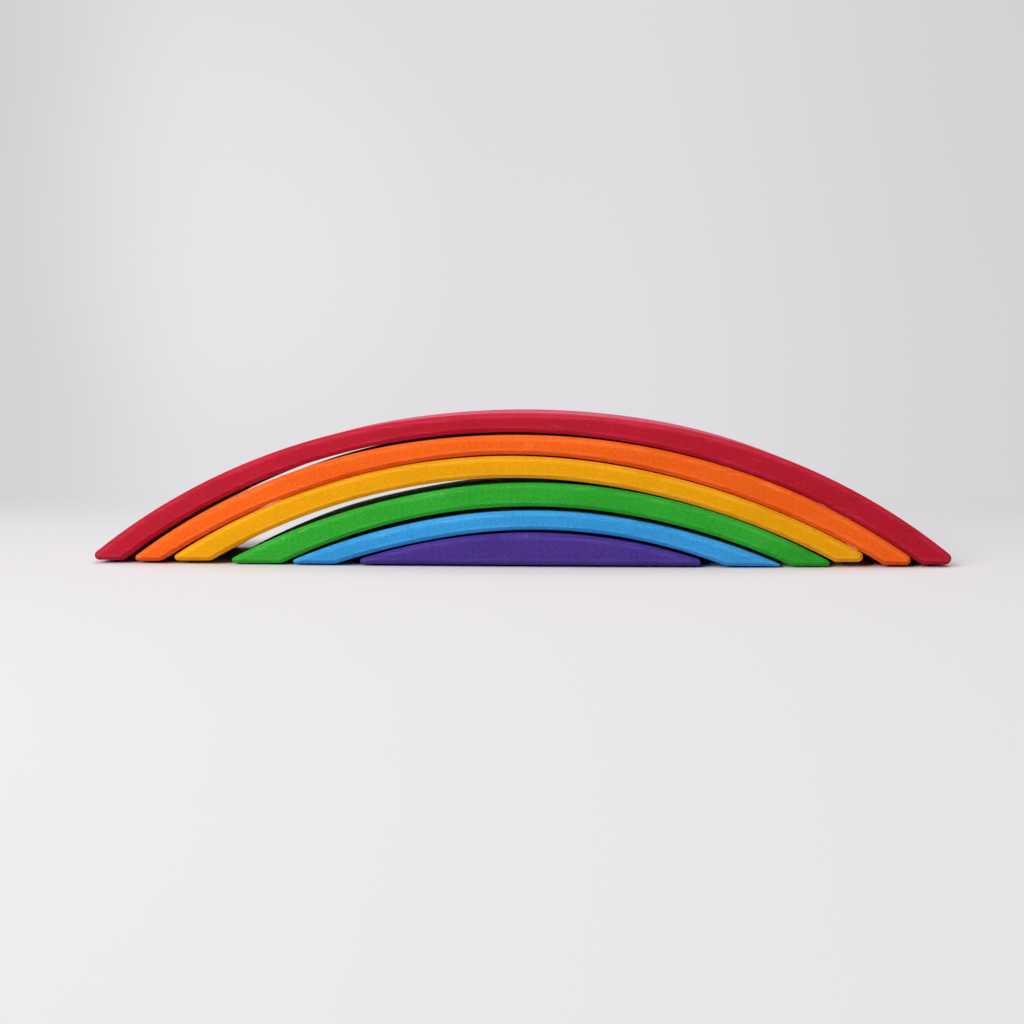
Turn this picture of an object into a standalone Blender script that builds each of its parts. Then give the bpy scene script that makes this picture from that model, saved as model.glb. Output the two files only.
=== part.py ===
# Rainbow stacker: a solid wooden core with five shallow wooden arches nested over it.
# Metres, +Z up. X runs along the set, Y from its front to its back, and the floor is at Z = 0.
# The origin is on the floor, under the middle of the nested set.

import math

import bmesh
import bpy

# Sizes that every piece shares
DEPTH = 0.070
CHAMFER = 0.0020
FACET_LENGTH = 0.010
CORNER_FACET_ANGLE = math.radians(30)
LEAST_CORNER_RADIUS = 0.0001
SHARP_EDGE_ANGLE = math.radians(32)

# The core: the solid segment in the middle. Its rise is the height of its crown over the floor,
# and crown_offset is how far the top of its curve stands to the right of its own middle.
# flattening is the crown's radius over the radius of a plain circular arc, 1 for a true circle.
# nose_left and nose_right are the radii of its two corners on the floor.
CORE = {
    "rise": 0.0162,
    "half_span": 0.0931,
    "crown_offset": 0.0006,
    "flattening": 1.006,
    "nose_left": 0.0014,
    "nose_right": 0.0016,
}

# Each arch is sized outwards from the piece under it.
# crown_gap is the clearance at the top, and gap_left and gap_right are the steps out along the floor
# line from that piece's ends, which may be less than nothing where the arch is raised over them.
# crown_wall is the wood at the top, and foot_left and foot_right are the wood along the floor.
# bore_offset and bore_flattening shape the underside as crown_offset and flattening shape the top.
# nose and heel are the corner radii at the outer and the inner end of each foot.
# lift is how far the feet stand off the floor, because the arch rides on the one under it,
# and lean raises its right foot further.
# slip_y is how far back the arch was pushed, from the piece under it.
ARCHES = {
    "blue_arch": {
        "crown_gap": 0.0016,
        "gap_left": 0.0054,
        "gap_right": 0.0045,
        "crown_wall": 0.0095,
        "foot_left": 0.0258,
        "foot_right": 0.0293,
        "bore_offset": 0.0015,
        "bore_flattening": 0.933,
        "crown_offset": 0.0001,
        "flattening": 0.921,
        "nose_left": 0.0011,
        "nose_right": 0.0006,
        "heel_left": 0.0060,
        "heel_right": 0.0010,
        "lift": 0.0,
        "lean": 0.0,
        "slip_y": 0.0,
    },
    "green_arch": {
        "crown_gap": 0.0021,
        "gap_left": 0.0018,
        "gap_right": 0.0036,
        "crown_wall": 0.0119,
        "foot_left": 0.0300,
        "foot_right": 0.0231,
        "bore_offset": 0.0019,
        "bore_flattening": 0.960,
        "crown_offset": 0.0024,
        "flattening": 0.911,
        "nose_left": 0.0015,
        "nose_right": 0.0015,
        "heel_left": 0.0010,
        "heel_right": 0.0060,
        "lift": 0.0,
        "lean": 0.0,
        "slip_y": 0.0010,
    },
    "yellow_arch": {
        "crown_gap": 0.0017,
        "gap_left": 0.0062,
        "gap_right": -0.0017,
        "crown_wall": 0.0111,
        "foot_left": 0.0228,
        "foot_right": 0.0210,
        "bore_offset": -0.0026,
        "bore_flattening": 0.918,
        "crown_offset": -0.0045,
        "flattening": 0.939,
        "nose_left": 0.0018,
        "nose_right": 0.0027,
        "heel_left": 0.0070,
        "heel_right": 0.0020,
        "lift": 0.0010,
        "lean": math.radians(0.21),
        "slip_y": 0.0,
    },
    "orange_arch": {
        "crown_gap": 0.0014,
        "gap_left": 0.0030,
        "gap_right": 0.0030,
        "crown_wall": 0.0097,
        "foot_left": 0.0160,
        "foot_right": 0.0187,
        "bore_offset": -0.0050,
        "bore_flattening": 0.921,
        "crown_offset": -0.0023,
        "flattening": 1.060,
        "nose_left": 0.0016,
        "nose_right": 0.0026,
        "heel_left": 0.0070,
        "heel_right": 0.0040,
        "lift": 0.0009,
        "lean": 0.0,
        "slip_y": -0.0005,
    },
    "red_arch": {
        "crown_gap": 0.0013,
        "gap_left": 0.0034,
        "gap_right": 0.0008,
        "crown_wall": 0.0097,
        "foot_left": 0.0190,
        "foot_right": 0.0193,
        "bore_offset": -0.0026,
        "bore_flattening": 1.013,
        "crown_offset": 0.0010,
        "flattening": 1.177,
        "nose_left": 0.0024,
        "nose_right": 0.0031,
        "heel_left": 0.0010,
        "heel_right": 0.0045,
        "lift": 0.0011,
        "lean": 0.0,
        "slip_y": 0.0005,
    },
}

# How far round from the top the crown's own radius reaches, before the shoulders take over
CROWN_HALF_ANGLE = math.radians(9)

# Stained wood: the colour of each piece, as linear red, green and blue
COLOURS = {
    "purple_core": (0.068, 0.037, 0.245),
    "blue_arch": (0.050, 0.315, 0.680),
    "green_arch": (0.028, 0.325, 0.032),
    "yellow_arch": (0.790, 0.360, 0.009),
    "orange_arch": (0.860, 0.125, 0.010),
    "red_arch": (0.470, 0.012, 0.026),
}
WOOD_ROUGHNESS = 0.62


def clear_scene():
    for obj in list(bpy.data.objects):
        bpy.data.objects.remove(obj, do_unlink=True)


def edge_arcs(rise, left_x, right_x, flattening, crown_x):
    """The crown and the two shoulders of a curve that rises over the floor between two feet."""
    half_span = (right_x - left_x) / 2
    crown = flattening * (rise**2 + half_span**2) / (2 * rise)
    drop = rise - crown
    sine = math.sin(CROWN_HALF_ANGLE)
    cosine = math.cos(CROWN_HALF_ANGLE)
    shoulders = {}
    for side, foot_x in ((-1, left_x), (1, right_x)):
        reach = side * (foot_x - crown_x)
        step = (reach**2 + drop**2 - crown**2) / (2 * (reach * sine - drop * cosine - crown))
        shoulders[side] = {
            "radius": crown - step,
            "centre": (crown_x + side * step * sine, drop + step * cosine),
        }
    return {"crown_radius": crown, "crown_centre": (crown_x, drop), "shoulders": shoulders}


def corner_centre(arcs, side, radius, inset, bulge):
    """Centre of a corner arc that touches the floor line and the shoulder, and the angle where it leaves."""
    centre_x, centre_z = arcs["shoulders"][side]["centre"]
    reach = arcs["shoulders"][side]["radius"] - bulge * (inset + radius)
    height = inset + radius - centre_z
    across = math.sqrt(reach**2 - height**2)
    return centre_x + side * across, inset + radius, math.atan2(across, height)


def arc_points(centre, radius, start, end, count):
    """Points along an arc, with angles measured from straight up towards +X."""
    points = []
    for i in range(count + 1):
        angle = start + (end - start) * i / count
        x = centre[0] + radius * math.sin(angle)
        z = centre[1] + radius * math.cos(angle)
        points.append((x, z))
    return points


def shoulder_points(shoulder, inset, bulge, start, end):
    """Points along one shoulder between two angles, as many for every inset."""
    centre_z = shoulder["centre"][1]
    floor_angle = math.acos(-centre_z / shoulder["radius"])
    length = shoulder["radius"] * (floor_angle - CROWN_HALF_ANGLE)
    count = math.ceil(length / FACET_LENGTH)
    return arc_points(shoulder["centre"], shoulder["radius"] - bulge * inset, start, end, count)


def curve_points(arcs, inset, bulge, left_angle, right_angle):
    """Points along the left shoulder, the crown and the right shoulder, from left to right."""
    crown_radius = arcs["crown_radius"] - bulge * inset
    crown_count = math.ceil(2 * arcs["crown_radius"] * CROWN_HALF_ANGLE / FACET_LENGTH)
    left = shoulder_points(arcs["shoulders"][-1], inset, bulge, -left_angle, -CROWN_HALF_ANGLE)
    crown = arc_points(
        arcs["crown_centre"], crown_radius, -CROWN_HALF_ANGLE, CROWN_HALF_ANGLE, crown_count
    )
    right = shoulder_points(arcs["shoulders"][1], inset, bulge, CROWN_HALF_ANGLE, right_angle)
    return left[:-1] + crown + right[1:]


def corner_points(centre, radius, start, end):
    """Points along a foot's corner, between the two ends that its neighbours draw."""
    turn = math.pi / 2
    count = math.ceil(turn / CORNER_FACET_ANGLE)
    return arc_points(centre, radius, start, end, count)


def outline(size, outer, bore, inset):
    """The closed front outline, clockwise from the left nose, drawn this far inside the full shape."""
    noses = {}
    for side, key in ((-1, "nose_left"), (1, "nose_right")):
        radius = max(size[key] - inset, LEAST_CORNER_RADIUS)
        noses[side] = (*corner_centre(outer, side, radius, inset, 1), radius)
    left_x, left_z, left_angle, left_radius = noses[-1]
    right_x, right_z, right_angle, right_radius = noses[1]
    points = curve_points(outer, inset, 1, left_angle, right_angle)
    points += corner_points((right_x, right_z), right_radius, right_angle, math.pi)[1:]
    if bore:
        points += bore_points(size, bore, inset)
    left_end = 2 * math.pi - left_angle
    points += corner_points((left_x, left_z), left_radius, math.pi, left_end)[:-1]
    return points


def bore_points(size, bore, inset):
    """The underside of an arch, from its right heel over to its left heel."""
    heels = {}
    for side, key in ((-1, "heel_left"), (1, "heel_right")):
        radius = max(size[key] - inset, LEAST_CORNER_RADIUS)
        heels[side] = (*corner_centre(bore, side, radius, inset, -1), radius)
    left_x, left_z, left_angle, left_radius = heels[-1]
    right_x, right_z, right_angle, right_radius = heels[1]
    points = corner_points((right_x, right_z), right_radius, math.pi, math.pi + right_angle)
    under = curve_points(bore, inset, -1, left_angle, right_angle)
    points += under[-2:0:-1]
    points += corner_points((left_x, left_z), left_radius, math.pi - left_angle, math.pi)
    return points


def lofted_mesh(name, size, outer, bore):
    """A solid through four outlines: chamfered in at the front face, full between, and in at the back."""
    sections = (
        (-DEPTH / 2, CHAMFER),
        (-DEPTH / 2 + CHAMFER, 0.0),
        (DEPTH / 2 - CHAMFER, 0.0),
        (DEPTH / 2, CHAMFER),
    )
    mesh = bpy.data.meshes.new(name)
    bm = bmesh.new()
    rings = []
    for y, inset in sections:
        corners = [bm.verts.new((x, y, z)) for x, z in outline(size, outer, bore, inset)]
        ring = [bm.edges.new((a, b)) for a, b in zip(corners, corners[1:] + corners[:1])]
        rings.append(ring)
    for front, back in zip(rings, rings[1:]):
        bmesh.ops.bridge_loops(bm, edges=front + back)
    for ring in (rings[0], rings[-1]):
        bmesh.ops.contextual_create(bm, geom=ring)
    bmesh.ops.recalc_face_normals(bm, faces=bm.faces)
    bm.to_mesh(mesh)
    bm.free()
    mesh.shade_smooth()
    mesh.set_sharp_from_angle(angle=SHARP_EDGE_ANGLE)
    return mesh


def stained_wood(name):
    material = bpy.data.materials.new(name)
    material.use_nodes = True
    shader = material.node_tree.nodes["Principled BSDF"]
    shader.inputs["Base Color"].default_value = (*COLOURS[name], 1.0)
    shader.inputs["Roughness"].default_value = WOOD_ROUGHNESS
    shader.inputs["Metallic"].default_value = 0.0
    material.diffuse_color = (*COLOURS[name], 1.0)
    return material


def add_piece(name, size, outer, bore, place, collection, parent):
    """Makes one piece with its origin on the floor, in the middle of its own span and depth."""
    mesh = lofted_mesh(name, size, outer, bore)
    mesh.materials.append(stained_wood(name))
    piece = bpy.data.objects.new(name, mesh)
    collection.objects.link(piece)
    piece.parent = parent
    piece.location = place
    return piece


def raise_piece(piece, size, outer):
    """Lifts an arch, and tips up its right foot about the line under its left nose."""
    pivot = corner_centre(outer, -1, size["nose_left"], 0.0, 1)[0]
    piece.rotation_euler.y = -size["lean"]
    piece.location.x += pivot * (1 - math.cos(size["lean"]))
    piece.location.z += size["lift"] - pivot * math.sin(size["lean"])


def centre_set(parent, pieces):
    """Moves the whole set so that the middle of its box stands on the origin."""
    bpy.context.view_layer.update()
    corners = [piece.matrix_world @ vertex.co for piece in pieces for vertex in piece.data.vertices]
    for axis in (0, 1):
        reach = [corner[axis] for corner in corners]
        parent.location[axis] -= (min(reach) + max(reach)) / 2


def build_set():
    collection = bpy.data.collections.new("rainbow_stacker")
    bpy.context.scene.collection.children.link(collection)
    parent = bpy.data.objects.new("nested_set", None)
    collection.objects.link(parent)

    half_span = CORE["half_span"]
    top = CORE["rise"]
    left_end = -half_span
    right_end = half_span
    place_y = 0.0
    outer = edge_arcs(top, left_end, right_end, CORE["flattening"], CORE["crown_offset"])
    pieces = [add_piece("purple_core", CORE, outer, None, (0.0, place_y, 0.0), collection, parent)]

    for name, size in ARCHES.items():
        left_end -= size["gap_left"] + size["foot_left"]
        right_end += size["gap_right"] + size["foot_right"]
        half_span = (right_end - left_end) / 2
        bore_rise = top + size["crown_gap"] - size["lift"]
        bore_left = size["foot_left"] - half_span
        bore_right = half_span - size["foot_right"]
        bore = edge_arcs(bore_rise, bore_left, bore_right, size["bore_flattening"], size["bore_offset"])
        rise = bore_rise + size["crown_wall"]
        outer = edge_arcs(rise, -half_span, half_span, size["flattening"], size["crown_offset"])
        top = rise + size["lift"]
        place_y += size["slip_y"]
        place = ((left_end + right_end) / 2, place_y, 0.0)
        piece = add_piece(name, size, outer, bore, place, collection, parent)
        raise_piece(piece, size, outer)
        pieces.append(piece)

    centre_set(parent, pieces)


clear_scene()
build_set()
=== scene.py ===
import math

import bmesh
import bpy
from mathutils import Euler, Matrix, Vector, noise


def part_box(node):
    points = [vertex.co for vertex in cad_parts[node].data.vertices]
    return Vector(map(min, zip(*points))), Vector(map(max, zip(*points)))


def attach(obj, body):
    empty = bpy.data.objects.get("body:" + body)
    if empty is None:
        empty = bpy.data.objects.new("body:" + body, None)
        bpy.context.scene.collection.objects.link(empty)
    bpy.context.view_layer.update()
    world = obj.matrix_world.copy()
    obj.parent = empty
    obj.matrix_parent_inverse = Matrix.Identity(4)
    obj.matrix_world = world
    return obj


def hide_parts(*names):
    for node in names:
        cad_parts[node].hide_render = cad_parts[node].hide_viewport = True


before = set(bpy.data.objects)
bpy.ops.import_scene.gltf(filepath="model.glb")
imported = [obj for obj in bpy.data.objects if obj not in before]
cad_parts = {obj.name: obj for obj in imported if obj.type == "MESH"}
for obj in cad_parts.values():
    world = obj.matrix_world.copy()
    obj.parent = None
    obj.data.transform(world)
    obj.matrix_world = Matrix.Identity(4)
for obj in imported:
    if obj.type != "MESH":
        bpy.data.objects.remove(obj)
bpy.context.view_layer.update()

# Rainbow stacker, in metres: a stained wooden core with five shallow arches nested over it.
# Each piece is rebuilt here with finer curves, sanded edges and its own wood, where its solid stands.
print("frame loaded:", len(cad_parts), "solids")


# What all six pieces share, because they come off the same board
board = {
    "depth": 0.070,
    "chamfer": 0.0020,
    "edgeRadius": 0.00055,  # how far sanding has rounded both edges of each chamfer
    "faceMargin": 0.0012,  # flat rim between the chamfer and the face's middle
    "chamferWear": 0.25,  # how worn the chamfer's flat is, where its edges are 1
    "sandVary": 0.11,  # share by which the chamfer's width wanders
    "sandPitch": 22,  # how quickly the sanding wanders along a piece
    "sandSides": 3.1,  # keeps the front's sanding unlike the back's
    "sawWave": 0.00012,  # how far the saw wandered into the wood
    "sawPitch": 16,  # how quickly the saw wandered along a piece
    "sawDepthPitch": 14,
    "stepLength": 0.0022,  # length of one facet along a curve
    "cornerSteps": 9,
    "edgeSteps": 4,
    "depthSteps": 9,
    "crownHalfAngle": math.radians(9),  # the crown's own radius reaches this far round from the top
    "leastCorner": 0.0001,
    "lowFrom": 0.5,  # share of a piece's height where a saw that ran low starts to show
    "lowOver": 0.4,  # share of the height over which it comes to show in full
}


# The crown and the two shoulders of a curve that rises over the floor between two feet
def edgeArcs(rise, leftX, rightX, flattening, crownX):
    halfSpan = (rightX - leftX) / 2
    crown = flattening * (rise**2 + halfSpan**2) / (2 * rise)
    drop = rise - crown
    sine = math.sin(board["crownHalfAngle"])
    cosine = math.cos(board["crownHalfAngle"])
    shoulders = {}
    for side, footX in ((-1, leftX), (1, rightX)):
        reach = side * (footX - crownX)
        step = (reach**2 + drop**2 - crown**2) / (2 * (reach * sine - drop * cosine - crown))
        centre = (crownX + side * step * sine, drop + step * cosine)
        shoulders[side] = {"radius": crown - step, "centre": centre}
    return {"crownRadius": crown, "crownCentre": (crownX, drop), "shoulders": shoulders}


# Centre of a corner arc that touches the floor line and the shoulder, and the angle where it leaves
def cornerCentre(arcs, side, radius, inset, bulge):
    centreX, centreZ = arcs["shoulders"][side]["centre"]
    reach = arcs["shoulders"][side]["radius"] - bulge * (inset + radius)
    height = inset + radius - centreZ
    across = math.sqrt(reach**2 - height**2)
    return centreX + side * across, inset + radius, math.atan2(across, height)


# Points along an arc, with angles measured from straight up towards +X
def arcPoints(centre, radius, start, end, count):
    points = []
    for i in range(count + 1):
        angle = start + (end - start) * i / count
        points.append((centre[0] + radius * math.sin(angle), centre[1] + radius * math.cos(angle)))
    return points


# Points along one shoulder between two angles, as many for every inset
def shoulderPoints(shoulder, inset, bulge, start, end):
    floorAngle = math.acos(-shoulder["centre"][1] / shoulder["radius"])
    length = shoulder["radius"] * (floorAngle - board["crownHalfAngle"])
    count = math.ceil(length / board["stepLength"])
    return arcPoints(shoulder["centre"], shoulder["radius"] - bulge * inset, start, end, count)


# Points along the left shoulder, the crown and the right shoulder, from left to right
def curvePoints(arcs, inset, bulge, leftAngle, rightAngle):
    crownAngle = board["crownHalfAngle"]
    crownRadius = arcs["crownRadius"] - bulge * inset
    crownCount = math.ceil(2 * arcs["crownRadius"] * crownAngle / board["stepLength"])
    left = shoulderPoints(arcs["shoulders"][-1], inset, bulge, -leftAngle, -crownAngle)
    crown = arcPoints(arcs["crownCentre"], crownRadius, -crownAngle, crownAngle, crownCount)
    right = shoulderPoints(arcs["shoulders"][1], inset, bulge, crownAngle, rightAngle)
    return left[:-1] + crown + right[1:]


# The two corner arcs at the ends of a curve: centre, angle and radius for the left and the right
def cornersOf(size, arcs, kind, inset, bulge):
    corners = []
    for side, hand in ((-1, "Left"), (1, "Right")):
        radius = max(size[kind + hand] - inset, board["leastCorner"])
        x, z, angle = cornerCentre(arcs, side, radius, inset, bulge)
        corners.append(((x, z), angle, radius))
    return corners


# Brings the top of a piece down towards its back, where the saw ran low
def runLow(points, lowest, share):
    rise = max(z for x, z in points)
    lowered = []
    for x, z in points:
        height = min(max((z / rise - board["lowFrom"]) / board["lowOver"], 0.0), 1.0)
        lowered.append((x, z - lowest * share * height**2 * (3 - 2 * height)))
    return lowered


# The closed outline, clockwise from the left nose, drawn this far inside the full shape
def outline(size, inset, share):
    steps = board["cornerSteps"]
    left, right = cornersOf(size, size["outer"], "nose", inset, 1)
    points = curvePoints(size["outer"], inset, 1, left[1], right[1])
    points = runLow(points, size["backLow"], share)
    points += arcPoints(right[0], right[2], right[1], math.pi, steps)[1:]
    if size["bore"]:
        leftHeel, rightHeel = cornersOf(size, size["bore"], "heel", inset, -1)
        points += arcPoints(rightHeel[0], rightHeel[2], math.pi, math.pi + rightHeel[1], steps)
        points += curvePoints(size["bore"], inset, -1, leftHeel[1], rightHeel[1])[-2:0:-1]
        points += arcPoints(leftHeel[0], leftHeel[2], math.pi - leftHeel[1], math.pi, steps)
    points += arcPoints(left[0], left[2], math.pi, 2 * math.pi - left[1], steps)[:-1]
    return points


# How the edge runs from a face round to the side: depth in, inset and wear for each section
def edgeProfile():
    radius = board["edgeRadius"]
    chamfer = board["chamfer"]
    tangent = radius * math.tan(math.pi / 8)
    profile = [(0.0, chamfer + tangent + board["faceMargin"], 0.0)]
    for i in range(board["edgeSteps"] + 1):
        angle = math.pi / 4 * i / board["edgeSteps"]
        depthIn = radius - radius * math.cos(angle)
        profile.append((depthIn, chamfer + tangent - radius * math.sin(angle), 1.0))
    profile.append((chamfer / 2, chamfer / 2, board["chamferWear"]))
    for i in range(board["edgeSteps"] + 1):
        angle = math.pi / 4 * (1 + i / board["edgeSteps"])
        depthIn = chamfer + tangent - radius * math.cos(angle)
        profile.append((depthIn, radius - radius * math.sin(angle), 1.0))
    profile.append((chamfer + tangent + board["faceMargin"], 0.0, 0.0))
    return profile


# One cross-section at a depth from the front, with the wandering of the saw and the sanding in it
def sectionPoints(size, side, depthIn, inset, seed):
    shallow = inset * (1 - board["sandVary"])
    deep = inset * (1 + board["sandVary"]) + board["sawWave"]
    sandPitch, sawPitch = board["sandPitch"], board["sawPitch"]
    half = board["depth"] / 2
    share = (side * (half - depthIn) + half) / board["depth"]
    points = []
    for (x, z), (innerX, innerZ) in zip(outline(size, shallow, share), outline(size, deep, share)):
        sandSpot = (x * sandPitch, side * board["sandSides"], z * sandPitch + seed)
        sawSpot = (x * sawPitch, side * depthIn * board["sawDepthPitch"], z * sawPitch - seed)
        sanding = board["sandVary"] * noise.noise(Vector(sandSpot))
        wander = 0.5 + 0.5 * noise.noise(Vector(sawSpot))
        wanted = inset * (1 + sanding) + board["sawWave"] * wander
        inward = (wanted - shallow) / (deep - shallow)
        y = side * (half - depthIn * (1 + sanding))
        points.append((x + (innerX - x) * inward, y, z + (innerZ - z) * inward))
    return points


# The rounded solid of one piece, with the wear of its edges and its sawn sides kept on its points
def pieceMesh(name, size, seed):
    profile = edgeProfile()
    deepest = profile[-1][0]
    sections = [(-1, *row) for row in profile]
    for i in range(1, board["depthSteps"]):
        depthIn = deepest + (board["depth"] - 2 * deepest) * i / board["depthSteps"]
        sections.append((-1, depthIn, 0.0, 0.0))
    sections += [(1, *row) for row in reversed(profile)]

    bm = bmesh.new()
    wearLayer = bm.verts.layers.float.new("wear")
    sawnLayer = bm.verts.layers.float.new("sawn")
    rings = []
    for side, depthIn, inset, wear in sections:
        ring = [bm.verts.new(point) for point in sectionPoints(size, side, depthIn, inset, seed)]
        for vert in ring:
            vert[wearLayer] = wear
            vert[sawnLayer] = 1.0 if inset <= 0.0 else 0.0
        rings.append(ring)
    for front, back in zip(rings, rings[1:]):
        for i in range(len(front)):
            j = (i + 1) % len(front)
            bm.faces.new((front[i], front[j], back[j], back[i]))
    bm.faces.new(reversed(rings[0]))
    bm.faces.new(rings[-1])
    bmesh.ops.recalc_face_normals(bm, faces=bm.faces)
    mesh = bpy.data.meshes.new(name)
    bm.to_mesh(mesh)
    bm.free()
    mesh.shade_smooth()
    return mesh


# Adds one node to a material, with its settings and the values of its sockets
def addNode(tree, kind, settings=None, values=None):
    made = tree.nodes.new(kind)
    for key, value in (settings or {}).items():
        setattr(made, key, value)
    for key, value in (values or {}).items():
        made.inputs[key].default_value = value
    return made


# Noise stretched along the board: sizes are the length, the depth and the height of one blotch
def stretchedNoise(tree, place, sizes, detail):
    scaled = addNode(tree, "ShaderNodeMapping", {"vector_type": "POINT"})
    scaled.inputs["Scale"].default_value = [1 / size for size in sizes]
    tree.links.new(place, scaled.inputs["Vector"])
    values = {"Scale": 1.0, "Detail": detail, "Roughness": wood["noiseRoughness"]}
    made = addNode(tree, "ShaderNodeTexNoise", {"noise_dimensions": "3D"}, values)
    tree.links.new(scaled.outputs["Vector"], made.inputs["Vector"])
    return made.outputs["Fac"]


# Adds one sum, product or the like of two numbers or sockets
def mathNode(tree, operation, first, second):
    made = addNode(tree, "ShaderNodeMath", {"operation": operation})
    for socket, value in zip(made.inputs, (first, second)):
        if isinstance(value, (int, float)):
            socket.default_value = value
        else:
            tree.links.new(value, socket)
    return made.outputs["Value"]


# Turns a field into a mask that climbs from 0 to its top between two values
def maskOf(tree, field, low, high, top=1.0):
    values = {"From Min": low, "From Max": high, "To Min": 0.0, "To Max": top}
    made = addNode(tree, "ShaderNodeMapRange", {"interpolation_type": "SMOOTHSTEP"}, values)
    tree.links.new(field, made.inputs["Value"])
    return made.outputs["Result"]


# Blends two colours, each given as a socket or as its three parts
def blendColour(tree, amount, first, second):
    made = addNode(tree, "ShaderNodeMix", {"data_type": "RGBA", "clamp_factor": True})
    tree.links.new(amount, made.inputs[0])
    for socket, value in ((made.inputs[6], first), (made.inputs[7], second)):
        if isinstance(value, tuple):
            socket.default_value = (*value, 1.0)
        else:
            tree.links.new(value, socket)
    return made.outputs[2]


# The fields that figure the wood: how long, deep and high one blotch is, and its share in the tone
woodFields = {
    "mottle": {"size": (0.045, 0.030, 0.018), "detail": 3.0, "share": 0.9},  # soft clouds in the stain
    "streak": {"size": (0.060, 0.0016, 0.0012), "detail": 3.0, "share": 0.40},  # fibres along the board
    "fibre": {"size": (0.0016, 0.0010, 0.0006), "detail": 2.0, "share": 2.2},  # the finest fibres
    "sawMark": {"size": (0.0013, 0.060, 0.009), "detail": 2.0, "share": 0.45},  # marks of the blade
    "fleck": {"size": (0.0030, 0.0011, 0.0010), "detail": 1.0, "share": 0.0},  # specks of bare wood
}


# How the stained wood looks, alike on every piece
wood = {
    "noiseRoughness": 0.55,
    "seedStep": (0.37, 0.11, 0.23),  # gives each piece its own stretch of wood
    "fleckFrom": 0.70,
    "fleckTo": 0.80,
    "sawnMarks": 1.5,  # how much stronger the blade's marks are on the sawn sides
    "paintedUnderFrom": -0.20,  # how far a surface turns down before its painted underside shading begins: light and shade painted into the colour of what turns down
    "paintedUnderTo": -0.60,
    "paintedSideLight": 0.35,  # painted light: edges that turn to the right are made lighter, edges that turn to the left darker
    "wearFrom": 0.75,
    "wearTo": 1.25,
    "glossFrom": 0.25,
    "glossTo": 0.75,
    "glossVary": 0.14,  # how much rougher the clouds' pale parts are
    "bump": 0.20,
    "bumpDepth": 0.00012,
}


# How a single mark fades out, and how far into the wood it shows
marking = {
    "fadeFrom": 1.0,
    "fadeTo": 0.55,
    "ringFrom": 0.35,  # the open middle of a ring knot
    "ringTo": 0.70,
    "ragged": 0.9,
    "intoWood": 0.003,
}


# Blends one mark into the colour: a speck, a scratch, or the ring of a small knot
def addMark(tree, place, fibre, colour, mark):
    fitted = addNode(tree, "ShaderNodeMapping", {"vector_type": "TEXTURE"})
    fitted.inputs["Location"].default_value = (mark["x"], -board["depth"] / 2, mark["z"])
    fitted.inputs["Rotation"].default_value = (0.0, -math.radians(mark.get("rises", 0)), 0.0)
    fitted.inputs["Scale"].default_value = (mark["long"] / 2, marking["intoWood"], mark["high"] / 2)
    tree.links.new(place, fitted.inputs["Vector"])
    reach = addNode(tree, "ShaderNodeVectorMath", {"operation": "LENGTH"})
    tree.links.new(fitted.outputs["Vector"], reach.inputs[0])
    ragged = mathNode(tree, "MULTIPLY", mathNode(tree, "SUBTRACT", fibre, 0.5), marking["ragged"])
    distance = mathNode(tree, "ADD", reach.outputs["Value"], ragged)
    shown = maskOf(tree, distance, marking["fadeFrom"], marking["fadeTo"], mark["shows"])
    if mark.get("ring"):
        ring = maskOf(tree, distance, marking["ringFrom"], marking["ringTo"])
        shown = mathNode(tree, "MULTIPLY", shown, ring)
    return blendColour(tree, shown, colour, mark["colour"])


# The tone between the deep and the pale stain
def toneOf(tree, fields, figure):
    tone = 0.5
    for kind, field in woodFields.items():
        if field["share"] > 0:
            centred = mathNode(tree, "SUBTRACT", fields[kind], 0.5)
            weighed = mathNode(tree, "MULTIPLY", centred, field["share"] * figure)
            tone = mathNode(tree, "ADD", weighed, tone)
    return tone


# Painted shading on the planed surfaces: painted light and shade in the colour of what turns down, painted
# light on what turns right and painted shade on what turns left
def paintedEdgeShading(tree, normal, tone, colour, sawn, paintedUnderShading):
    facing = addNode(tree, "ShaderNodeSeparateXYZ")
    tree.links.new(normal, facing.inputs["Vector"])
    planed = mathNode(tree, "SUBTRACT", 1.0, sawn)
    under = maskOf(tree, facing.outputs["Z"], wood["paintedUnderFrom"], wood["paintedUnderTo"])
    under = mathNode(tree, "MULTIPLY", under, planed)
    colour = blendColour(tree, under, colour, blendColour(tree, tone, *paintedUnderShading))
    # painted light and shade: what turns right is made lighter and what turns left darker, to even out the
    # main soft box's light from the left
    sideLightScale = mathNode(tree, "MULTIPLY", facing.outputs["X"], wood["paintedSideLight"])
    sideLightScale = mathNode(tree, "ADD", mathNode(tree, "MULTIPLY", sideLightScale, planed), 1.0)
    sideLitColour = addNode(tree, "ShaderNodeVectorMath", {"operation": "SCALE"})
    tree.links.new(colour, sideLitColour.inputs[0])
    tree.links.new(sideLightScale, sideLitColour.inputs["Scale"])
    return sideLitColour.outputs["Vector"]
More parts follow.
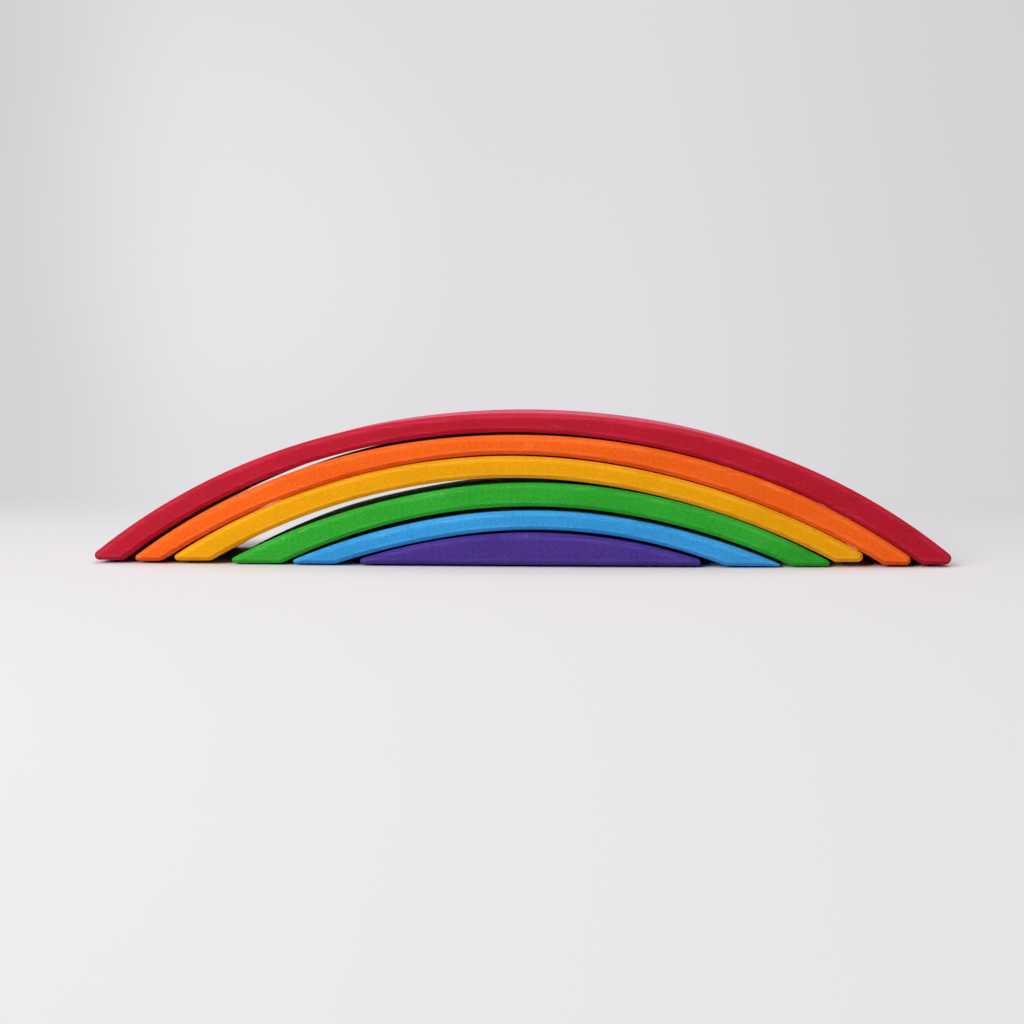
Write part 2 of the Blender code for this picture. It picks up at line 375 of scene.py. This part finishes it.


# A matt stained wood: clouds, fibres and saw marks between a deep and a pale stain, with worn edges, and
# painted light and shade on its chamfers and sides
def stainedWood(name, look, seed):
    material = bpy.data.materials.new(name)
    material.use_nodes = True
    tree = material.node_tree
    shader = tree.nodes["Principled BSDF"]
    coordinates = addNode(tree, "ShaderNodeTexCoord")
    place = coordinates.outputs["Object"]
    moved = addNode(tree, "ShaderNodeVectorMath", {"operation": "ADD"})
    moved.inputs[1].default_value = [seed * step for step in wood["seedStep"]]
    tree.links.new(place, moved.inputs[0])
    fields = {}
    for kind, field in woodFields.items():
        fields[kind] = stretchedNoise(tree, moved.outputs["Vector"], field["size"], field["detail"])

    tone = toneOf(tree, fields, look["figure"])
    colour = blendColour(tree, tone, look["deep"], look["pale"])
    specks = maskOf(tree, fields["fleck"], wood["fleckFrom"], wood["fleckTo"], look["flecks"])
    colour = blendColour(tree, specks, colour, look["worn"])
    for mark in look["marks"]:
        colour = addMark(tree, place, fields["fibre"], colour, mark)

    sawn = addNode(tree, "ShaderNodeAttribute", {"attribute_name": "sawn"}).outputs["Fac"]
    bladeMarks = mathNode(tree, "SUBTRACT", fields["sawMark"], 0.5)
    bladeMarks = mathNode(tree, "MULTIPLY", bladeMarks, wood["sawnMarks"])
    # the sawn sides' own paler stain, and on the red arch also a painted sheen standing in for the grazing
    # reflection on its top
    sawnStainAndSheen = blendColour(tree, mathNode(tree, "ADD", tone, bladeMarks), *look["sawn"])
    colour = blendColour(tree, sawn, colour, sawnStainAndSheen)
    # painted light and shade, by which way a planed surface turns
    colour = paintedEdgeShading(tree, coordinates.outputs["Normal"], tone, colour, sawn, look["under"])

    wear = addNode(tree, "ShaderNodeAttribute", {"attribute_name": "wear"}).outputs["Fac"]
    patches = mathNode(tree, "ADD", fields["streak"], fields["mottle"])
    patches = maskOf(tree, patches, wood["wearFrom"], wood["wearTo"], look["wear"])
    colour = blendColour(tree, mathNode(tree, "MULTIPLY", wear, patches), colour, look["worn"])
    tree.links.new(colour, shader.inputs["Base Color"])

    relief = mathNode(tree, "ADD", fields["streak"], fields["fibre"])
    relief = mathNode(tree, "ADD", relief, fields["sawMark"])
    bump = addNode(tree, "ShaderNodeBump", None, {"Strength": wood["bump"], "Distance": wood["bumpDepth"]})
    tree.links.new(relief, bump.inputs["Height"])
    tree.links.new(bump.outputs["Normal"], shader.inputs["Normal"])

    gloss = maskOf(tree, fields["mottle"], wood["glossFrom"], wood["glossTo"], wood["glossVary"])
    rubbed = mathNode(tree, "MULTIPLY", sawn, -look["rubbed"])
    roughness = mathNode(tree, "ADD", mathNode(tree, "ADD", gloss, rubbed), look["roughness"])
    tree.links.new(roughness, shader.inputs["Roughness"])
    shader.inputs["Metallic"].default_value = 0.0
    shader.inputs["Specular IOR Level"].default_value = look["specular"]
    return material


# Moves a finished piece to where its solid stands: same middle along and across, same lowest point
def seatOnNode(piece, node):
    low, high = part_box(node)
    bpy.context.view_layer.update()
    corners = [piece.matrix_world @ vertex.co for vertex in piece.data.vertices]
    for axis in (0, 1):
        reach = [corner[axis] for corner in corners]
        piece.location[axis] += (low[axis] + high[axis] - min(reach) - max(reach)) / 2
    piece.location.z += low.z - min(corner.z for corner in corners)


# Makes one piece from its sizes and its look, seats it, and lets it ride on its body
def addPiece(name, size, node, body, seed):
    piece = bpy.data.objects.new(name, pieceMesh(name, size, seed))
    bpy.context.scene.collection.objects.link(piece)
    piece.data.materials.append(stainedWood(name + "Stain", size, seed))
    piece.rotation_euler.y = -size["lean"]
    seatOnNode(piece, node)
    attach(piece, body)
    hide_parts(node)
    print(name, "made:", len(piece.data.vertices), "points")


# Draws an arch outwards from the piece that it is nested over
def nestOver(under, arch):
    width = arch["footLeft"] + arch["footRight"]
    halfSpan = under["halfSpan"] + (arch["gapLeft"] + arch["gapRight"] + width) / 2
    boreRise = under["top"] + arch["crownGap"] - arch["lift"]
    boreEnds = (arch["footLeft"] - halfSpan, halfSpan - arch["footRight"])
    arch["bore"] = edgeArcs(boreRise, *boreEnds, arch["boreFlattening"], arch["boreOffset"])
    rise = boreRise + arch["crownWall"]
    arch["outer"] = edgeArcs(rise, -halfSpan, halfSpan, arch["flattening"], arch["crownOffset"])
    arch["top"] = rise + arch["lift"]
    arch["halfSpan"] = halfSpan


# The core: a solid segment
core = {
    "top": 0.0162,
    "halfSpan": 0.0931,
    "crownOffset": 0.0006,
    "flattening": 1.006,
    "noseLeft": 0.0014,
    "noseRight": 0.0016,
    "bore": None,
    "backLow": 0.0,
    "lean": 0.0,
    "deep": (0.048, 0.023, 0.182),
    "pale": (0.074, 0.037, 0.267),
    "worn": (0.120, 0.080, 0.380),
    "sawn": ((0.060, 0.034, 0.220), (0.098, 0.060, 0.330)),
    # painted light and shade: the colour that surfaces turning down take instead of the face's, for how
    # light falls on them
    "under": ((0.052, 0.024, 0.190), (0.080, 0.038, 0.280)),
    "figure": 1.3,
    "flecks": 0.35,
    "wear": 0.38,
    "roughness": 0.60,
    "rubbed": 0.0,
    "specular": 0.07,
    "marks": [
        dict(x=-0.0528, z=0.0108, long=0.0010, high=0.0010, colour=(0.32, 0.27, 0.60), shows=0.35),
        dict(x=-0.0021, z=0.0148, long=0.0014, high=0.0008, colour=(0.32, 0.27, 0.60), shows=0.30),
        dict(x=0.0349, z=0.0105, long=0.0009, high=0.0009, colour=(0.28, 0.24, 0.55), shows=0.28),
        dict(x=0.0819, z=0.0048, long=0.0010, high=0.0010, colour=(0.32, 0.27, 0.60), shows=0.35),
    ],
}
coreEnds = (-core["halfSpan"], core["halfSpan"])
core["outer"] = edgeArcs(core["top"], *coreEnds, core["flattening"], core["crownOffset"])
addPiece("violetCore", core, "purple_core", "core", 1)


# The blue arch
blueArch = {
    "crownGap": 0.0016,  # how much air it leaves over the crown of the piece below
    "gapLeft": 0.0054,  # and beside that piece's feet
    "gapRight": 0.0045,
    "crownWall": 0.0095,  # how thick it is at its crown
    "footLeft": 0.0258,  # how far its feet reach along the floor
    "footRight": 0.0293,
    "boreOffset": 0.0015,  # how far the crown of its inner curve stands to the right
    "boreFlattening": 0.933,  # its crown's radius as a share of a plain circle's
    "crownOffset": 0.0001,  # the same for its outer curve
    "flattening": 0.921,
    "noseLeft": 0.0011,  # radii of the outer and inner corners of its feet
    "noseRight": 0.0006,
    "heelLeft": 0.0060,
    "heelRight": 0.0010,
    "backLow": 0.0,  # how much lower its top runs at the back
    "lift": 0.0,  # how far its feet stand off the floor
    "lean": 0.0,
    "deep": (0.022, 0.221, 0.520),
    "pale": (0.042, 0.324, 0.684),
    "worn": (0.110, 0.430, 0.780),
    "sawn": ((0.035, 0.262, 0.560), (0.075, 0.380, 0.720)),
    # painted light and shade: the colour that surfaces turning down take instead of the face's, for how
    # light falls on them
    "under": ((0.021, 0.213, 0.590), (0.041, 0.312, 0.770)),
    "figure": 1.1,
    "flecks": 0.35,
    "wear": 0.38,
    "roughness": 0.60,
    "rubbed": 0.0,
    "specular": 0.07,
    "marks": [
        dict(x=0.0236, z=0.0230, long=0.0012, high=0.0008, colour=(0.20, 0.48, 0.76), shows=0.28),
        dict(x=0.0783, z=0.0132, long=0.0009, high=0.0009, colour=(0.20, 0.48, 0.76), shows=0.28),
    ],
}
nestOver(core, blueArch)
addPiece("blueArch", blueArch, "blue_arch", "blue", 2)


# The green arch
greenArch = {
    "crownGap": 0.0021,
    "gapLeft": 0.0018,
    "gapRight": 0.0036,
    "crownWall": 0.0119,
    "footLeft": 0.0300,
    "footRight": 0.0231,
    "boreOffset": 0.0019,
    "boreFlattening": 0.960,
    "crownOffset": 0.0024,
    "flattening": 0.911,
    "noseLeft": 0.0015,
    "noseRight": 0.0015,
    "heelLeft": 0.0010,
    "heelRight": 0.0060,
    "backLow": 0.0013,  # leaves the gap under the yellow arch open further along
    "lift": 0.0,
    "lean": 0.0,
    "deep": (0.019, 0.262, 0.017),
    "pale": (0.032, 0.384, 0.030),
    "worn": (0.085, 0.450, 0.080),
    "sawn": ((0.028, 0.300, 0.026), (0.055, 0.410, 0.055)),
    # painted light and shade: the colour that surfaces turning down take instead of the face's, for how
    # light falls on them
    "under": ((0.016, 0.298, 0.016), (0.027, 0.438, 0.028)),
    "figure": 1.15,
    "flecks": 0.45,
    "wear": 0.38,
    "roughness": 0.60,
    "rubbed": 0.0,
    "specular": 0.07,
    "marks": [
        dict(x=-0.1236, z=0.0127, long=0.0020, high=0.0015, colour=(0.34, 0.40, 0.05), shows=0.42),
        dict(x=-0.1136, z=0.0167, long=0.0036, high=0.0010, rises=25,
             colour=(0.34, 0.36, 0.04), shows=0.35),
        dict(x=-0.0431, z=0.0358, long=0.0022, high=0.0012, colour=(0.40, 0.40, 0.06), shows=0.35),
        dict(x=-0.0157, z=0.0359, long=0.0012, high=0.0010, colour=(0.32, 0.30, 0.03), shows=0.30),
        dict(x=0.1160, z=0.0123, long=0.0026, high=0.0016, colour=(0.30, 0.14, 0.02), shows=0.38),
    ],
}
nestOver(blueArch, greenArch)
addPiece("greenArch", greenArch, "green_arch", "green", 3)


# The yellow arch, pushed to the left, with its right foot well off the floor
yellowArch = {
    "crownGap": 0.0017,
    "gapLeft": 0.0062,
    "gapRight": -0.0017,
    "crownWall": 0.0111,
    "footLeft": 0.0228,
    "footRight": 0.0210,
    "boreOffset": -0.0026,
    "boreFlattening": 0.918,
    "crownOffset": -0.0045,
    "flattening": 0.939,
    "noseLeft": 0.0018,
    "noseRight": 0.0027,
    "heelLeft": 0.0070,
    "heelRight": 0.0020,
    "backLow": 0.0,
    "lift": 0.0010,
    "lean": math.radians(0.21),
    "deep": (0.625, 0.257, 0.001),
    "pale": (0.810, 0.353, 0.002),
    "worn": (0.930, 0.480, 0.040),
    "sawn": ((0.680, 0.290, 0.003), (0.860, 0.410, 0.015)),
    # painted light and shade: the colour that surfaces turning down take instead of the face's, for how
    # light falls on them
    "under": ((0.740, 0.257, 0.001), (0.930, 0.350, 0.001)),
    "figure": 0.9,
    "flecks": 0.30,
    "wear": 0.40,
    "roughness": 0.60,
    "rubbed": 0.0,
    "specular": 0.07,
    "marks": [
        dict(x=0.0304, z=0.0463, long=0.0010, high=0.0010, colour=(0.45, 0.16, 0.002), shows=0.5),
        dict(x=-0.0271, z=0.0460, long=0.0009, high=0.0009, colour=(0.45, 0.16, 0.002), shows=0.5),
    ],
}
nestOver(greenArch, yellowArch)
addPiece("yellowArch", yellowArch, "yellow_arch", "yellow", 4)


# The orange arch
orangeArch = {
    "crownGap": 0.0014,
    "gapLeft": 0.0023,
    "gapRight": 0.0030,
    "crownWall": 0.0097,
    "footLeft": 0.0167,
    "footRight": 0.0187,
    "boreOffset": -0.0040,
    "boreFlattening": 0.869,
    "crownOffset": -0.0023,
    "flattening": 1.060,
    "noseLeft": 0.0016,
    "noseRight": 0.0026,
    "heelLeft": 0.0070,
    "heelRight": 0.0040,
    "backLow": 0.0,
    "lift": 0.0009,
    "lean": 0.0,
    "deep": (0.700, 0.089, 0.006),
    "pale": (0.880, 0.129, 0.009),
    "worn": (0.960, 0.220, 0.050),
    "sawn": ((0.740, 0.105, 0.010), (0.900, 0.170, 0.030)),
    # painted light and shade: the colour that surfaces turning down take instead of the face's, for how
    # light falls on them
    "under": ((0.690, 0.066, 0.002), (0.850, 0.092, 0.004)),
    "figure": 1.1,
    "flecks": 0.30,
    "wear": 0.40,
    "roughness": 0.60,
    "rubbed": 0.0,
    "specular": 0.07,
    "marks": [
        dict(x=0.0038, z=0.0590, long=0.0070, high=0.0048, colour=(0.74, 0.22, 0.07), shows=0.22),
        dict(x=0.0022, z=0.0615, long=0.0012, high=0.0012, colour=(0.85, 0.34, 0.14), shows=0.28),
        dict(x=0.0849, z=0.0481, long=0.0036, high=0.0034, ring=True,
             colour=(0.50, 0.05, 0.003), shows=0.5),
        dict(x=0.1239, z=0.0393, long=0.0130, high=0.0022, rises=-25,
             colour=(0.95, 0.26, 0.07), shows=0.30),
    ],
}
nestOver(yellowArch, orangeArch)
addPiece("orangeArch", orangeArch, "orange_arch", "orange", 5)


# The red arch, the outermost
redArch = {
    "crownGap": 0.0013,
    "gapLeft": 0.0034,
    "gapRight": 0.0001,
    "crownWall": 0.0097,
    "footLeft": 0.0190,
    "footRight": 0.0200,
    "boreOffset": -0.0032,
    "boreFlattening": 1.013,
    "crownOffset": 0.0010,
    "flattening": 1.177,
    "noseLeft": 0.0024,
    "noseRight": 0.0031,
    "heelLeft": 0.0010,
    "heelRight": 0.0045,
    "backLow": 0.0,
    "lift": 0.0011,
    "lean": 0.0,
    "deep": (0.350, 0.006, 0.017),
    "pale": (0.475, 0.009, 0.026),
    "worn": (0.590, 0.036, 0.100),
    # paler stain of the sawn sides, partly a painted pink sheen for the grazing reflection on the top
    "sawn": ((0.450, 0.010, 0.048), (0.620, 0.036, 0.120)),
    # painted light and shade: the colour that surfaces turning down take instead of the face's, for how
    # light falls on them
    "under": ((0.350, 0.004, 0.011), (0.470, 0.006, 0.017)),
    "figure": 1.0,
    "flecks": 0.35,
    "wear": 0.40,
    "roughness": 0.58,
    "rubbed": 0.18,  # how much of its roughness the top has lost to handling
    "specular": 0.10,
    "marks": [
        dict(x=0.0185, z=0.0687, long=0.0080, high=0.0009, rises=-12, colour=(0.60, 0.09, 0.12), shows=0.2),
        dict(x=0.0864, z=0.0593, long=0.0050, high=0.0040, rises=-15, ring=True,
             colour=(0.52, 0.03, 0.05), shows=0.3),
        dict(x=0.0968, z=0.0536, long=0.0010, high=0.0010, colour=(0.10, 0.002, 0.004), shows=0.7),
        dict(x=0.1174, z=0.0521, long=0.0050, high=0.0008, rises=-18, colour=(0.60, 0.09, 0.12), shows=0.2),
    ],
}
nestOver(orangeArch, redArch)
addPiece("redArch", redArch, "red_arch", "red", 6)


# The floor: a pale sheet that sags a little under the middle and fades into the backdrop
floor = {
    "reach": 3.5,
    "centre": (0.0, -1.50),
    "drop": 0.00115,  # how far under the feet it lies at its lowest, which leaves the thin dark line
    "lowestAt": 0.01,
    "sagReach": 0.20,  # how far to both sides of its lowest line it rises
    "sagLeft": 0.0006,
    "sagRight": 0.00105,
    "sagSteps": 24,
    "fadeFrom": 1.62,  # how far from the floor's centre it fades into the backdrop
    "fadeTo": 1.93,
    "endFrom": 0.95,  # how far from the toy the floor starts to end, in views from other sides
    "endTo": 1.55,
    "roughness": 0.9,
    "specular": 0.1,
    "lampSpot": (-0.85, -0.95),  # where on the floor the main soft box stands
    "beneathLamp": (0.33, 0.324, 0.331),
    "beneathFrom": 0.30,  # distances from that spot, where one grey goes over into the next
    "beneathTo": 0.95,
    "underLamp": (0.575, 0.565, 0.577),
    "lampNear": 0.75,
    "lampFar": 1.50,
    "awayFromLamp": (0.675, 0.663, 0.678),
}


# A sheet in narrow strips where it sags, and flat from there to its ends
def floorMesh():
    mesh = bpy.data.meshes.new("floor")
    bm = bmesh.new()
    reach, steps = floor["reach"], floor["sagSteps"]
    rows = [(-reach, floor["sagLeft"])]
    for i in range(-steps, steps + 1):
        share = i / steps
        sag = floor["sagLeft"] if i < 0 else floor["sagRight"]
        rows.append((floor["lowestAt"] + floor["sagReach"] * share, sag * share**2))
    rows.append((reach, floor["sagRight"]))
    front, back = [[bm.verts.new((x, y, z)) for x, z in rows] for y in (-reach, reach)]
    for i in range(len(rows) - 1):
        bm.faces.new((front[i], front[i + 1], back[i + 1], back[i]))
    bm.to_mesh(mesh)
    bm.free()
    return mesh


# How far a place on the floor is from a spot, both given from the floor's centre
def distanceFrom(tree, place, spot):
    made = addNode(tree, "ShaderNodeVectorMath", {"operation": "DISTANCE"})
    made.inputs[1].default_value = (*spot, 0.0)
    tree.links.new(place, made.inputs[0])
    return made.outputs["Value"]


# The floor's grey, which evens out the light of the main soft box
def floorColour(tree, place):
    spot = [floor["lampSpot"][axis] - floor["centre"][axis] for axis in (0, 1)]
    fromLamp = distanceFrom(tree, place, spot)
    away = maskOf(tree, fromLamp, floor["lampNear"], floor["lampFar"])
    colour = blendColour(tree, away, floor["underLamp"], floor["awayFromLamp"])
    clear = maskOf(tree, fromLamp, floor["beneathFrom"], floor["beneathTo"])
    return blendColour(tree, clear, floor["beneathLamp"], colour)


# Where the floor gives way to the backdrop: behind the toy, and far from it on every side
def floorGone(tree, place):
    rays = addNode(tree, "ShaderNodeLightPath")
    seen = mathNode(tree, "MAXIMUM", rays.outputs["Is Camera Ray"], rays.outputs["Is Glossy Ray"])
    fromCentre = distanceFrom(tree, place, (0.0, 0.0))
    fade = maskOf(tree, fromCentre, floor["fadeFrom"], floor["fadeTo"])
    fromToy = distanceFrom(tree, place, [-along for along in floor["centre"]])
    end = maskOf(tree, fromToy, floor["endFrom"], floor["endTo"])
    end = mathNode(tree, "MULTIPLY", end, rays.outputs["Is Camera Ray"])
    return mathNode(tree, "MAXIMUM", mathNode(tree, "MULTIPLY", fade, seen), end)


def floorPaint():
    material = bpy.data.materials.new("paleFloor")
    material.use_nodes = True
    tree = material.node_tree
    shader = tree.nodes["Principled BSDF"]
    shader.inputs["Roughness"].default_value = floor["roughness"]
    shader.inputs["Specular IOR Level"].default_value = floor["specular"]
    level = addNode(tree, "ShaderNodeCombineXYZ", None, {"Z": 1.0})  # the sag doesn't show in its shading
    tree.links.new(level.outputs["Vector"], shader.inputs["Normal"])
    place = addNode(tree, "ShaderNodeTexCoord").outputs["Object"]
    tree.links.new(floorColour(tree, place), shader.inputs["Base Color"])
    seeThrough = addNode(tree, "ShaderNodeBsdfTransparent")
    mixed = addNode(tree, "ShaderNodeMixShader")
    tree.links.new(floorGone(tree, place), mixed.inputs["Fac"])
    tree.links.new(shader.outputs["BSDF"], mixed.inputs[1])
    tree.links.new(seeThrough.outputs["BSDF"], mixed.inputs[2])
    tree.links.new(mixed.outputs["Shader"], tree.nodes["Material Output"].inputs["Surface"])
    return material


def addFloor():
    sheet = bpy.data.objects.new("floor", floorMesh())
    sheet.location = (*floor["centre"], -floor["drop"])
    bpy.context.scene.collection.objects.link(sheet)
    sheet.data.materials.append(floorPaint())


addFloor()
print("floor made")


# The backdrop that the camera sees, with a soft glow up to the left, and the light that the sky gives
backdrop = {
    "tint": (1.0, 0.982, 1.004),
    "across": ((-0.40, 0.640), (-0.25, 0.745), (0.0, 0.733), (0.34, 0.650)),  # grey at each sideways turn
    "low": 0.018,  # how much lighter the wall is near the floor
    "lowFrom": 0.0,
    "lowTo": 0.30,
    "glow": 0.036,
    "glowTowards": (-0.235, 0.966, 0.105),
    "glowFrom": 0.984,  # cosine of the angle at which the glow has faded away
    "behindCamera": 0.10,  # what the gloss reflects from the dark side of the studio
    "behindFrom": 0.25,  # how far a direction turns to the back before that side begins
    "behindTo": -0.1,
    "skyColour": (1.0, 0.99, 1.0),
    "skyStrength": 0.38,
    "skyFrom": 0.25,  # sine of the height over the floor where the sky starts to give light
    "skyTo": 0.60,
}


# The grey of the wall for every direction: darker to the sides, lighter low down and in the glow
def wallGrey(tree, towards, turn):
    facing = addNode(tree, "ShaderNodeVectorMath", {"operation": "DOT_PRODUCT"})
    facing.inputs[1].default_value = backdrop["glowTowards"]
    tree.links.new(towards, facing.inputs[0])
    glow = maskOf(tree, facing.outputs["Value"], backdrop["glowFrom"], 1.0, backdrop["glow"])
    across = addNode(tree, "ShaderNodeValToRGB")
    across.color_ramp.interpolation = "EASE"
    stops = across.color_ramp.elements
    while len(stops) < len(backdrop["across"]):
        stops.new(0.5)
    for stop, (sideways, grey) in zip(stops, backdrop["across"]):
        stop.position = 0.5 + sideways
        stop.color = (grey, grey, grey, 1.0)
    tree.links.new(mathNode(tree, "ADD", turn.outputs["X"], 0.5), across.inputs["Fac"])
    high = maskOf(tree, turn.outputs["Z"], backdrop["lowFrom"], backdrop["lowTo"], -backdrop["low"])
    low = mathNode(tree, "ADD", high, backdrop["low"])
    return mathNode(tree, "ADD", mathNode(tree, "ADD", across.outputs["Color"], glow), low)


# What is seen and mirrored: the wall, and for gloss a dark side behind the camera
def wallLight(tree, towards, turn, rays):
    grey = wallGrey(tree, towards, turn)
    front = maskOf(tree, turn.outputs["Y"], backdrop["behindTo"], backdrop["behindFrom"])
    gloss = mathNode(tree, "MULTIPLY", grey, mathNode(tree, "MAXIMUM", front, backdrop["behindCamera"]))
    level = addNode(tree, "ShaderNodeMix", {"data_type": "FLOAT"})
    tree.links.new(rays.outputs["Is Glossy Ray"], level.inputs[0])
    tree.links.new(grey, level.inputs[2])
    tree.links.new(gloss, level.inputs[3])
    light = addNode(tree, "ShaderNodeBackground", None, {"Color": (*backdrop["tint"], 1.0)})
    tree.links.new(level.outputs[0], light.inputs["Strength"])
    return light.outputs["Background"]


# What lights the toy and the floor: a soft sky that begins well over the floor
def skyLight(tree, turn):
    light = addNode(tree, "ShaderNodeBackground", None, {"Color": (*backdrop["skyColour"], 1.0)})
    skyFrom, skyTo = backdrop["skyFrom"], backdrop["skyTo"]
    height = maskOf(tree, turn.outputs["Z"], skyFrom, skyTo, backdrop["skyStrength"])
    tree.links.new(height, light.inputs["Strength"])
    return light.outputs["Background"]


def addBackdrop():
    world = bpy.data.worlds.new("studio")
    world.use_nodes = True
    tree = world.node_tree
    bpy.context.scene.world = world
    tree.nodes.clear()
    towards = addNode(tree, "ShaderNodeTexCoord").outputs["Generated"]
    turn = addNode(tree, "ShaderNodeSeparateXYZ")
    tree.links.new(towards, turn.inputs["Vector"])
    rays = addNode(tree, "ShaderNodeLightPath")
    seen = mathNode(tree, "MAXIMUM", rays.outputs["Is Camera Ray"], rays.outputs["Is Glossy Ray"])
    mixed = addNode(tree, "ShaderNodeMixShader")
    tree.links.new(seen, mixed.inputs["Fac"])
    tree.links.new(skyLight(tree, turn), mixed.inputs[1])
    tree.links.new(wallLight(tree, towards, turn, rays), mixed.inputs[2])
    output = addNode(tree, "ShaderNodeOutputWorld")
    tree.links.new(mixed.outputs["Shader"], output.inputs["Surface"])


addBackdrop()
print("backdrop made")


# Two soft boxes: the main one stands to the left in front, and the other hangs overhead to the right
softBoxes = {
    "main": {"place": (-0.92, -0.88, 0.80), "aim": (-0.05, 0.0, 0.03), "size": 0.9, "watts": 24.4},
    "overhead": {"place": (0.26, 0.06, 1.25), "aim": (0.05, 0.0, 0.03), "size": 1.0, "watts": 8.0},
}


def addSoftBox(name, box):
    lamp = bpy.data.lights.new(name, "AREA")
    lamp.shape = "SQUARE"
    lamp.size = box["size"]
    lamp.energy = box["watts"]
    holder = bpy.data.objects.new(name, lamp)
    holder.location = box["place"]
    towards = Vector(box["aim"]) - Vector(box["place"])
    holder.rotation_euler = towards.to_track_quat("-Z", "Y").to_euler()
    bpy.context.scene.collection.objects.link(holder)


for name, box in softBoxes.items():
    addSoftBox(name, box)
print("lights made")


# The camera, found by fitting the outlines of the photograph
camera = {
    "place": (0.02473, -0.70125, 0.09580),
    "lookDown": math.radians(5.91),
    "turnLeft": math.radians(2.35),
    "focalLength": 47.21,  # in millimetres, as is the sensor's width
    "sensorWidth": 36.0,
}


def addCamera():
    lens = bpy.data.cameras.new("camera")
    lens.lens = camera["focalLength"]
    lens.sensor_width = camera["sensorWidth"]
    holder = bpy.data.objects.new("camera", lens)
    holder.location = camera["place"]
    holder.rotation_euler = Euler((math.pi / 2 - camera["lookDown"], 0.0, camera["turnLeft"]))
    bpy.context.scene.collection.objects.link(holder)
    bpy.context.scene.camera = holder


addCamera()
bpy.context.scene.view_settings.view_transform = "Standard"
print("camera made")
